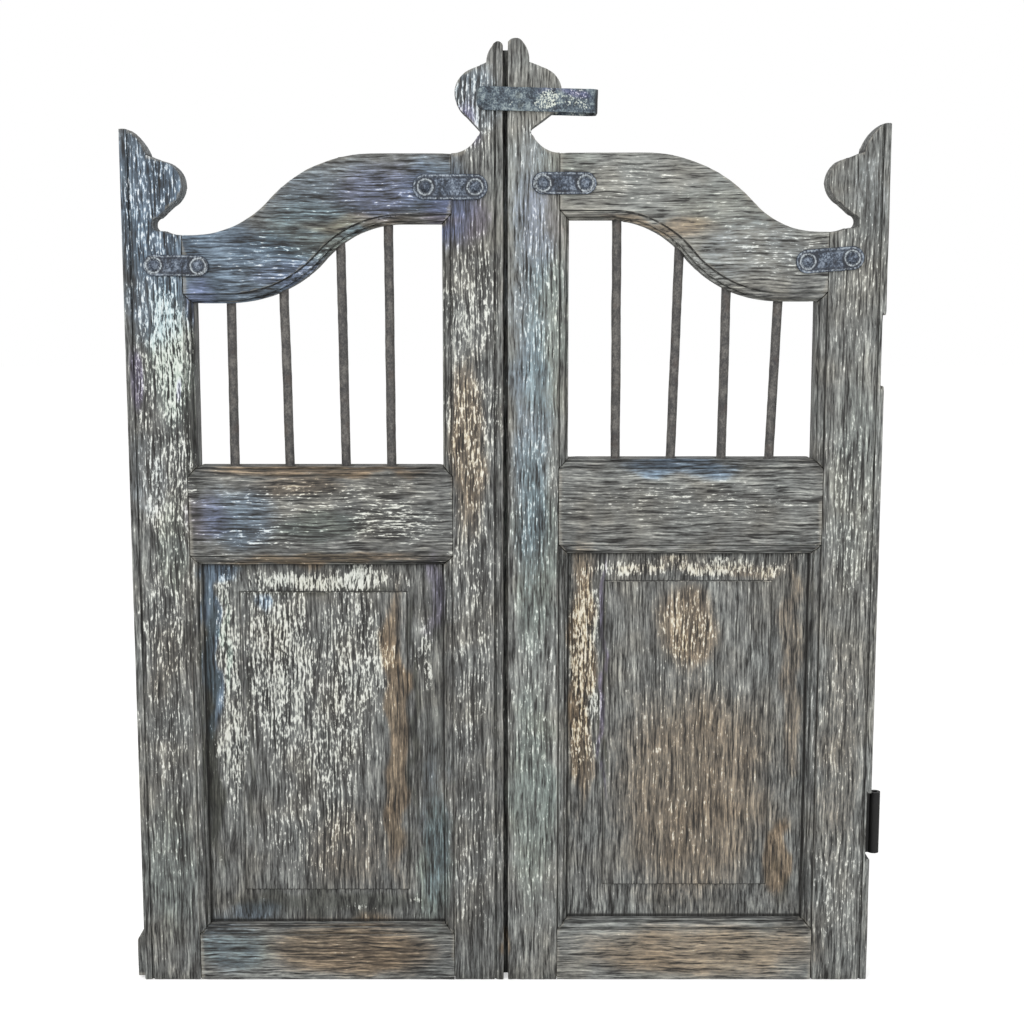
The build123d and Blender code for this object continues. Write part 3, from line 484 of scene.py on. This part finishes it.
def raise_skin(tree, shader, height, strength, depth):
    """Fine relief under what the mesh carries."""
    bump = add_node(
        tree, "ShaderNodeBump", {"Height": height, "Strength": strength, "Distance": depth}
    )
    tree.links.new(bump.outputs["Normal"], shader.inputs["Normal"])


def maths(tree, work, *values):
    """One sum on numbers or sockets."""
    made = add_node(tree, "ShaderNodeMath", operation=work)
    for socket, value in zip(made.inputs, values):
        if isinstance(value, bpy.types.NodeSocket):
            tree.links.new(value, socket)
        else:
            socket.default_value = value
    return made.outputs[0]


def band(tree, field, low, high):
    """0 below low, 1 above high, eased between."""
    return add_node(
        tree,
        "ShaderNodeMapRange",
        {"Value": field, "From Min": low, "From Max": high},
        interpolation_type="SMOOTHSTEP",
    ).outputs["Result"]


# Teak, colours along the grain's field: bare wood weathered grey, wood washed lighter, and wood
# darkened by dirt and painted shade; then the chalky cream paint from the hollow to the crown of a
# flake
BARE_WOOD = [
    (0.39, "#2c2b2a"), (0.445, "#494948"), (0.50, "#626362"), (0.55, "#7f807e"), (0.62, "#adaea9"),
]
WASHED_WOOD = [
    (0.38, "#474745"), (0.44, "#686866"), (0.50, "#7f817e"), (0.56, "#989996"), (0.63, "#bdbfb9"),
]
SOOTY_AND_SHADED_WOOD = [(0.40, "#1f1f1d"), (0.50, "#454641"), (0.62, "#6d6e68")]
CHALKY_CREAM = [(0.32, "#b1b3aa"), (0.50, "#d0d2ca"), (0.66, "#e8e9e3")]
# Thin stains are laid on in overlay, where #bcbcbc leaves what is under it as it is
STAINS = {"brown": "#c6b09a", "teal": "#b0c0bc", "slate": "#a6bbd6", "plum": "#bcb4d0"}
CLOUDS = [(0.35, "#babcbc"), (0.50, "#bcbcbb"), (0.65, "#bfbcb7")]
# Dirt in the pores; dirt and painted shade in inner corners; wear and painted highlight on the
# arrises
GROOVE_DIRT, CORNER_DIRT_AND_SHADE, RUBBED_AND_HIGHLIT_ARRIS = "#1d1c1b", "#1c1b19", "#a09c92"
# Sizes in mm: width and length of the streaks and flakes, and how far and how slowly they wander.
# The streaks lie 2 to 3 mm apart, as the open pores of weathered teak do
PORES, GROWTH_BANDS, FLAKES = (2.3, 40.0), (10.0, 200.0), (2.3, 8.0)
CLOUD_SIZE, WANDER, WANDER_SIZE = 60, 6, 60
TEAK_ROUGHNESS = 0.78
# Shares of pores, bands and flakes in the grain's field
GRAIN_SHARES = (0.62, 0.22, 0.16)
# Where each coat shows: the field at which it starts and is full, and the pores' and flakes' parts
PALE_SHOWS = (0.60, 1.30, 0.5, 0.3)
SOOT_AND_SHADE_SHOWS = (0.65, 1.25, 0.5, 0.3)
CREAM_SHOWS = (2.34, 2.50, 1.8, 1.9)
STAIN_SHOWS = (0.55, 1.25, 0.4, 0.4)
# Heights of pores, cream and flakes, as shares of the bump's depth
BUMP_SHARES = (0.9, 0.14, 0.25)
BUMP_DEPTH = 1.2 * MM


def weathered_teak(name, upright):
    """Teak weathered grey and rubbed back: soft wood is worn into dark grooves between hard
    ridges, and remains of several coats cling to it in short flakes drawn out with the grain."""
    material, tree, shader, place = new_material(name, TEAK_ROUGHNESS)
    slow = add_node(
        tree, "ShaderNodeMapping", {"Vector": place, "Scale": [1 / (WANDER_SIZE * MM)] * 3}
    )
    swirl = add_node(
        tree, "ShaderNodeTexNoise", {"Vector": slow.outputs[0], "Scale": 1.0, "Detail": 2.0}
    )
    wandered = add_node(
        tree,
        "ShaderNodeVectorMath",
        {0: swirl.outputs["Color"], 1: [WANDER * MM] * 3, 2: place},
        operation="MULTIPLY_ADD",
    ).outputs[0]

    def along_grain(size_mm, detail=3.0, roughness=0.55):
        """Noise drawn out along the grain: upright in stiles and panels, level in rails."""
        across, along = size_mm
        size = (across, across, along) if upright else (along, across, across)
        return noise_field(tree, wandered, size, detail, roughness)

    def worn_out(coat, low, high, pore_part, flake_part):
        """How much of a coat shows: its stored share, broken up by the pores and flakes."""
        field = maths(tree, "MULTIPLY_ADD", pores, pore_part, stored_mark(tree, coat))
        field = maths(tree, "MULTIPLY_ADD", flakes, flake_part, field)
        return band(tree, field, low, high)

    pores = along_grain(PORES, 4.0, 0.62)
    bands = along_grain(GROWTH_BANDS, 2.0)
    flakes = along_grain(FLAKES, 3.0, 0.6)
    cloud = noise_field(tree, place, (CLOUD_SIZE,) * 3, 2.0)
    pore_share, band_share, flake_share = GRAIN_SHARES
    grain = maths(tree, "MULTIPLY", bands, band_share)
    grain = maths(tree, "MULTIPLY_ADD", pores, pore_share, grain)
    grain = maths(tree, "MULTIPLY_ADD", flakes, flake_share, grain)
    colour = ramp(tree, grain, BARE_WOOD)
    colour = mix(tree, worn_out("pale", *PALE_SHOWS), colour, ramp(tree, grain, WASHED_WOOD))
    # Soot: dirt, and painted shade
    colour = mix(tree, worn_out("soot_and_shade", *SOOT_AND_SHADE_SHOWS), colour, ramp(tree, grain, SOOTY_AND_SHADED_WOOD))
    cream = worn_out("cream", *CREAM_SHOWS)
    colour = mix(tree, cream, colour, ramp(tree, flakes, CHALKY_CREAM))
    for coat, shade in STAINS.items():
        colour = mix(tree, worn_out(coat, *STAIN_SHOWS), colour, linear(shade), "OVERLAY")
    colour = mix(tree, 1.0, colour, ramp(tree, cloud, CLOUDS), "OVERLAY")
    grooves = band(tree, pores, 0.45, 0.36)
    colour = mix(tree, maths(tree, "MULTIPLY", grooves, 0.85), colour, linear(GROOVE_DIRT))
    # Arrises rubbed pale: wear, and painted highlight
    rubbed_and_highlit = maths(tree, "MULTIPLY_ADD", flakes, 0.8, stored_mark(tree, "arris"))
    rubbed_and_highlit = band(tree, rubbed_and_highlit, 0.75, 1.1)
    colour = mix(tree, maths(tree, "MULTIPLY", rubbed_and_highlit, 0.45), colour, linear(RUBBED_AND_HIGHLIT_ARRIS))
    # Inner corners and a panel's sight lines darkened: dirt and painted shade
    corners = maths(tree, "MULTIPLY_ADD", pores, 0.3, stored_mark(tree, "crevice_dirt_and_shade"))
    corners = band(tree, corners, 0.35, 0.95)
    colour = mix(tree, maths(tree, "MULTIPLY", corners, 0.85), colour, linear(CORNER_DIRT_AND_SHADE))
    tree.links.new(colour, shader.inputs["Base Color"])

    pore_high, cream_high, flake_high = BUMP_SHARES
    height = maths(tree, "MULTIPLY", pores, pore_high)
    height = maths(tree, "MULTIPLY_ADD", cream, cream_high, height)
    height = maths(tree, "MULTIPLY_ADD", flakes, flake_high, height)
    raise_skin(tree, shader, height, 1.0, BUMP_DEPTH)
    return material


# Wrought iron: sizes in mm of the hammer's blotches, of specks and of rust, and its marks' colours
BLOTCH, SPECK, RUST_SPOT = (9, 9, 12), (2.0, 2.0, 2.4), (14, 14, 20)
# On the plates the tooled line's dark is painted shade, and the rubbed iron's pale on the rims is
# partly painted highlight
TOOLED_LINE_SHADE, RUBBED_AND_HIGHLIT_IRON, CREAM_SPECK = "#1c2028", "#b9c1c6", "#cdd3c9"
# Blackened iron: soot, and painted shade
PLUM_STAIN, BLACKENED_AND_SHADED = "#c1b5d6", "#17181b"
# Old oil paint on iron is dull, and only a little bare metal shines through
IRON_ROUGHNESS, IRON_METALLIC = 0.6, 0.15
HAMMER_DEPTH = 0.5 * MM


def forged_iron(name, dark, mid, light, rust):
    """Wrought iron under old worn paint: a mottled dull coat, rubbed pale on the high places and
    rusted where it is gone, with specks of later coats, tooled lines darkened as painted shade and
    rims lightened as painted highlight, blackening that is soot and painted shade, and a hammered
    skin."""
    material, tree, shader, place = new_material(name, IRON_ROUGHNESS, IRON_METALLIC)
    blotch = noise_field(tree, place, BLOTCH, 4.0, 0.6)
    speck = noise_field(tree, place, SPECK, 3.0, 0.6)
    field = maths(tree, "MULTIPLY_ADD", blotch, 0.5, maths(tree, "MULTIPLY", speck, 0.5))
    colour = ramp(tree, field, [(0.40, dark), (0.50, mid), (0.60, light)])
    rusted = band(tree, noise_field(tree, place, RUST_SPOT, 4.0, 0.65), 0.56, 0.66)
    colour = mix(tree, maths(tree, "MULTIPLY", rusted, 0.5), colour, linear(rust))
    # Dark tooled lines and edge: painted shade
    tooled_shade = maths(tree, "MULTIPLY", stored_mark(tree, "painted_shade_line"), 0.85)
    colour = mix(tree, tooled_shade, colour, linear(TOOLED_LINE_SHADE))
    # Pale rims: painted highlight, with rubbing
    rubbed_and_highlit = maths(tree, "MULTIPLY_ADD", speck, 1.0, stored_mark(tree, "rim"))
    colour = mix(tree, band(tree, rubbed_and_highlit, 0.85, 1.35), colour, linear(RUBBED_AND_HIGHLIT_IRON))
    flaked = maths(tree, "MULTIPLY_ADD", speck, 2.0, stored_mark(tree, "cream"))
    colour = mix(tree, band(tree, flaked, 1.52, 1.66), colour, linear(CREAM_SPECK))
    colour = mix(tree, stored_mark(tree, "plum"), colour, linear(PLUM_STAIN), "OVERLAY")
    # Blackening: soot, and painted shade
    colour = mix(tree, stored_mark(tree, "soot_and_shade"), colour, linear(BLACKENED_AND_SHADED))
    tree.links.new(colour, shader.inputs["Base Color"])
    raise_skin(tree, shader, field, 0.6, HAMMER_DEPTH)
    return material


upright_teak = weathered_teak("rubbed_teak_grain_upright", True)
level_teak = weathered_teak("rubbed_teak_grain_level", False)
bar_iron = forged_iron("wrought_bar_iron_worn_paint", "#3b3a3b", "#53514f", "#706d69", "#4c423d")
plate_iron = forged_iron(
    "wrought_plate_iron_blue_paint", "#1b2028", "#434d5c", "#838e9c", "#2d2f35"
)
latch_iron = forged_iron("flat_latch_iron_slate_paint", "#262d36", "#525f6a", "#8d999b", "#454944")
# The hinge is japanned black, and made as dark as the deep shade in its gain: painted shade
shade_black_hinge_iron = forged_iron("japanned_and_shade_black_hinge_iron", "#020202", "#060606", "#0c0c0c", "#0a0706")


# Wooden members

MEMBERS = {
    "hinge_stile": (True, upright_teak, "frame_teak"),
    "meeting_stile": (True, upright_teak, "frame_teak"),
    "top_rail": (False, level_teak, "frame_teak"),
    "mid_rail": (False, level_teak, "frame_teak"),
    "bottom_rail": (False, level_teak, "frame_teak"),
    "panel": (True, upright_teak, "panel_teak"),
}
for hand, side in enumerate(("left", "right")):
    for number, (member, (upright, material, slot)) in enumerate(MEMBERS.items()):
        weathered_member(f"{side}_{member}", upright, material, slot, 100 * hand + 10 * number)


# Ironwork

# Remains of paint on the strap, as for the wood; its soot darkens it as dirt and as painted shade,
# most at the right end
STRAP_COATS = {
    "cream": [
        (47, 1103, 20, 12, 0.55), (84, 1103, 18, 12, 0.42), (0, 1103, 30, 12, 0.22),
        (92, 1094, 9, 4, 0.5),
    ],
    "plum": [(84, 1116, 16, 4, 0.9), (60, 1118, 20, 3, 0.5)],
    "soot_and_shade": [(110, 1100, 5, 24, 1.0), (-30, 1096, 4, 4, 0.7)],
}


# A plate's tooling, in mm: its rim, a painted highlight, and line, a painted shade, inside its edge
# and round a rivet's middle, how far each spreads, and the width of the dark edge, painted shade
# too
EDGE_HIGHLIGHT_RIM, EDGE_SHADE_LINE = 2.0, 4.4
RIVET_HIGHLIGHT_RIM, RIVET_SHADE_LINE = 8.0, 10.2
TOOL_SPREAD = 1.1
SHADED_EDGE = 0.7
# Points of two rivets lie further apart in x than this
RIVET_GAP = 8 * MM
# Sizes of the hammer's blows and of the rubbed places, and the depth in mm that is rubbed off;
# then how fine the plates and the strap are cut, and how deep the blows in them go
BLOW, RUB = 7 * MM, 5 * MM
RUB_DEPTH = 0.35
PLATE_CUT, PLATE_BLOWS = 1.2 * MM, 0.35 * MM
STRAP_CUT, STRAP_BLOWS = 2 * MM, 0.3 * MM


def rivet_places(side):
    """The x and z of the middles of a leaf's rivets, split where their points leave a gap in x."""
    points = read_array(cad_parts[f"{side}_plate_rivets"].data.vertices, "co", 3)
    points = points[np.argsort(points[:, 0])]
    groups = np.split(points, np.flatnonzero(np.diff(points[:, 0]) > RIVET_GAP) + 1)
    return [(group.min(axis=0) + group.max(axis=0))[[0, 2]] / 2 for group in groups]


def tooling(points, arris, rivets):
    """Dark lines of painted shade and pale rims of painted highlight on a plate, inside its edge
    and
    round each rivet: exp(-t^2) of the distance from each one's own distance, and a dark edge of
    painted shade."""
    flat = points[:, [0, 2]] / MM
    edge = flat[arris > 0]
    inward = np.min(np.hypot(*(flat[:, None] - edge[None]).transpose(2, 0, 1)), axis=1)
    around = np.min([np.hypot(*(flat - np.array(spot) / MM).T) for spot in rivets], axis=0)

    def stroke(distance, middle):
        return np.exp(-((distance - middle) / TOOL_SPREAD) ** 2)

    painted_shade_line = stroke(inward, EDGE_SHADE_LINE) + stroke(around, RIVET_SHADE_LINE)
    rim = stroke(inward, EDGE_HIGHLIGHT_RIM) * 0.6 + stroke(around, RIVET_HIGHLIGHT_RIM) * 0.5
    return {"painted_shade_line": np.clip(painted_shade_line + (inward < SHADED_EDGE) * 0.7, 0, 1), "rim": rim}


def hammered_piece(node, pitch, depth, material, slot, body, seed, rivets=(), coats=None):
    """A forged piece: its CAD skin, sunk by a hammered noise and rubbed on its arrises, with its
    tooled lines and rims, painted shade and painted highlight, and remains of coats stored at each
    vertex."""
    skin = diced_skin(node, (pitch, pitch, pitch))
    points = read_array(skin.vertices, "co", 3).astype(float)
    normals = read_array(skin.vertices, "normal", 3)
    blows = lattice_noise(points / BLOW, seed) * depth
    arris = edge_lines(skin, points)[0]
    wear = arris * RUB_DEPTH * MM * lattice_noise(points / RUB, seed + 1)
    sunk = points - normals * (blows + wear)[:, None]
    skin.vertices.foreach_set("co", sunk.astype(np.float32).ravel())
    marks = tooling(points, arris, rivets) if rivets else {}
    for number, (coat, patches) in enumerate((coats or {}).items()):
        marks[coat] = coverage(points, patches, 700 + 10 * number)
    store_marks(skin, marks)
    smooth_faces(skin)
    return place_piece(node + "_iron", skin, body, material, slot, node)


for hand, side in enumerate(("left", "right")):
    rivets = rivet_places(side)
    for end in ("inner", "outer"):
        hammered_piece(
            f"{side}_{end}_joint_plate",
            PLATE_CUT,
            PLATE_BLOWS,
            plate_iron,
            "plate_iron",
            LEAVES,
            300 + hand,
            rivets,
        )
hammered_piece(
    "latch_strap",
    STRAP_CUT,
    STRAP_BLOWS,
    latch_iron,
    "latch_iron",
    "latch",
    310,
    coats=STRAP_COATS,
)


# A bar's rings and the sides round each; how far in mm its middle wanders, and over what length;
# the size of its pits and their greatest depth in mm; and the slices its foot and top are read from
RINGS, SIDES = 90, 28
BAR_NUDGE, BAR_WAVE = 0.6, 45 * MM
PITS, PIT_DEPTH = (5 * MM, 5 * MM, 9 * MM), 0.35
END_SLICE = 3 * MM


def round_bar(node, seed):
    """A wrought bar: a circle carried from the bar's foot to its top, its middle nudged by a slow
    noise and its skin pitted by a fine one, closed by a point at each end."""
    low, high = (np.array(corner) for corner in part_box(node))
    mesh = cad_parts[node].data
    points = read_array(mesh.vertices, "co", 3).astype(float)
    foot = points[points[:, 2] < low[2] + END_SLICE].mean(axis=0)
    top = points[points[:, 2] > high[2] - END_SLICE].mean(axis=0)
    radius = (high[1] - low[1]) / 2
    t = np.linspace(0, 1, RINGS)[:, None]
    turn = np.linspace(0, 2 * np.pi, SIDES, endpoint=False)[None, :]
    middle = foot + (top - foot) * t
    nudge = np.stack([
        lattice_noise(middle / BAR_WAVE + k, seed + k) - 0.5 for k in range(2)
    ], axis=1)
    around = np.stack([
        middle[:, :1] + nudge[:, :1] * BAR_NUDGE * MM + radius * np.cos(turn),
        middle[:, 1:2] + nudge[:, 1:] * BAR_NUDGE * MM + radius * np.sin(turn),
        np.broadcast_to(middle[:, 2:], (RINGS, SIDES)),
    ], axis=-1).reshape(-1, 3)
    pitted = lattice_noise(around / PITS, seed + 5) * PIT_DEPTH * MM
    out = around - np.repeat(middle, SIDES, axis=0)
    out[:, 2] = 0
    out /= np.linalg.norm(out, axis=1)[:, None]
    skin = np.vstack([around - out * pitted[:, None], middle[0], middle[-1]])
    ring, step = np.meshgrid(np.arange(RINGS - 1), np.arange(SIDES), indexing="ij")
    here = ring * SIDES + step
    after = ring * SIDES + (step + 1) % SIDES
    quads = np.stack([here, after, after + SIDES, here + SIDES], axis=-1).reshape(-1, 4)
    rim = np.arange(SIDES)
    beside = (rim + 1) % SIDES
    last = (RINGS - 1) * SIDES
    foot_point = np.full(SIDES, RINGS * SIDES)
    foot_cap = np.stack([beside, rim, foot_point], axis=1)
    top_cap = np.stack([last + rim, last + beside, foot_point + 1], axis=1)
    made = bpy.data.meshes.new(node + "_rod")
    made.from_pydata(skin, [], quads.tolist() + foot_cap.tolist() + top_cap.tolist())
    smooth_faces(made)
    return place_piece(node + "_rod", made, LEAVES, bar_iron, "bar_iron", node)


for hand, side in enumerate(("left", "right")):
    for number in range(1, 5):
        round_bar(f"{side}_bar_{number}", 400 + 10 * hand + number)


def dress(node, material):
    """Give a CAD piece that keeps its shape a finished material."""
    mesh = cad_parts[node].data
    mesh.materials.clear()
    mesh.materials.append(material)


for node, iron in (
    ("left_plate_rivets", plate_iron),
    ("right_plate_rivets", plate_iron),
    ("latch_rivet", latch_iron),
    ("right_hinge_eye", shade_black_hinge_iron),
    ("right_hinge_screws", shade_black_hinge_iron),
):
    dress(node, iron)


# Floor, light and camera

# Added to the lit floor for the camera alone, so that it shows white but where it is shaded
FLOOR_GLOW = 0.5
FLOOR_REACH = 14.0


def stage_floor():
    """A pale floor that the camera sees as white, which still takes the door's shadow."""
    mesh = bpy.data.meshes.new("pale_floor")
    signs = ((-1, -1), (1, -1), (1, 1), (-1, 1))
    corners = [(x * FLOOR_REACH, y * FLOOR_REACH, 0) for x, y in signs]
    mesh.from_pydata(corners, [], [(0, 1, 2, 3)])
    floor = bpy.data.objects.new("pale_floor", mesh)
    bpy.context.scene.collection.objects.link(floor)
    material, tree, shader, _ = new_material("pale_matt_floor", 0.9)
    shader.inputs["Base Color"].default_value = linear("#f2f2f0")
    shader.inputs["Emission Color"].default_value = linear("#ffffff")
    seen = add_node(tree, "ShaderNodeLightPath").outputs["Is Camera Ray"]
    tree.links.new(maths(tree, "MULTIPLY", seen, FLOOR_GLOW), shader.inputs["Emission Strength"])
    mesh.materials.append(material)


def soft_lamp(name, place, target, width, power):
    """A square soft box that faces a point."""
    lamp = bpy.data.lights.new(name, "AREA")
    lamp.size = width
    lamp.energy = power
    box = bpy.data.objects.new(name, lamp)
    bpy.context.scene.collection.objects.link(box)
    box.location = place
    aim = np.array(target) - np.array(place)
    level = math.hypot(aim[0], aim[1])
    box.rotation_euler = (math.atan2(level, -aim[2]), 0, math.atan2(-aim[0], aim[1]))


# The light that falls on the door from all sides
AMBIENT = 0.55


def stage_light():
    """White seen by the camera and in reflections, and a gentle even light for the rest."""
    world = bpy.data.worlds.new("studio")
    bpy.context.scene.world = world
    world.use_nodes = True
    tree = world.node_tree
    tree.nodes.clear()
    path = add_node(tree, "ShaderNodeLightPath")
    seen = maths(tree, "MAXIMUM", path.outputs["Is Camera Ray"], path.outputs["Is Glossy Ray"])
    seen = maths(tree, "MAXIMUM", seen, path.outputs["Is Transmission Ray"])
    white = add_node(tree, "ShaderNodeBackground", {"Color": linear("#ffffff"), "Strength": 1.0})
    even = add_node(tree, "ShaderNodeBackground", {"Color": linear("#ffffff"), "Strength": AMBIENT})
    both = add_node(tree, "ShaderNodeMixShader")
    tree.links.new(seen, both.inputs[0])
    tree.links.new(even.outputs[0], both.inputs[1])
    tree.links.new(white.outputs[0], both.inputs[2])
    out = add_node(tree, "ShaderNodeOutputWorld")
    tree.links.new(both.outputs[0], out.inputs["Surface"])


# The camera's distance, height and tilt come from a perspective fitted to the door's outline
CAMERA_PLACE = (0.008, -2.101, 0.905)
CAMERA_TILT = 8.11
FOCAL_PIXELS = 1700
FRAME_PIXELS = 1024
SENSOR = 36.0


def stage_camera():
    """The photograph's view, with no shift and no depth of field."""
    lens = bpy.data.cameras.new("view")
    lens.sensor_width = SENSOR
    lens.lens = SENSOR * FOCAL_PIXELS / FRAME_PIXELS
    camera = bpy.data.objects.new("view", lens)
    bpy.context.scene.collection.objects.link(camera)
    camera.location = CAMERA_PLACE
    camera.rotation_euler = (math.radians(90 - CAMERA_TILT), 0, 0)
    bpy.context.scene.camera = camera


stage_floor()
# Both soft boxes stand in front and face the door's middle: the key high on the left, and a weaker
# fill on the right
DOOR_MIDDLE = (0, 0, 0.6)
soft_lamp("key", (-1.6, -2.6, 2.6), DOOR_MIDDLE, 2.2, 60)
soft_lamp("fill", (1.9, -2.4, 1.6), DOOR_MIDDLE, 2.0, 26)
stage_light()
stage_camera()
bpy.context.scene.view_settings.view_transform = "Standard"
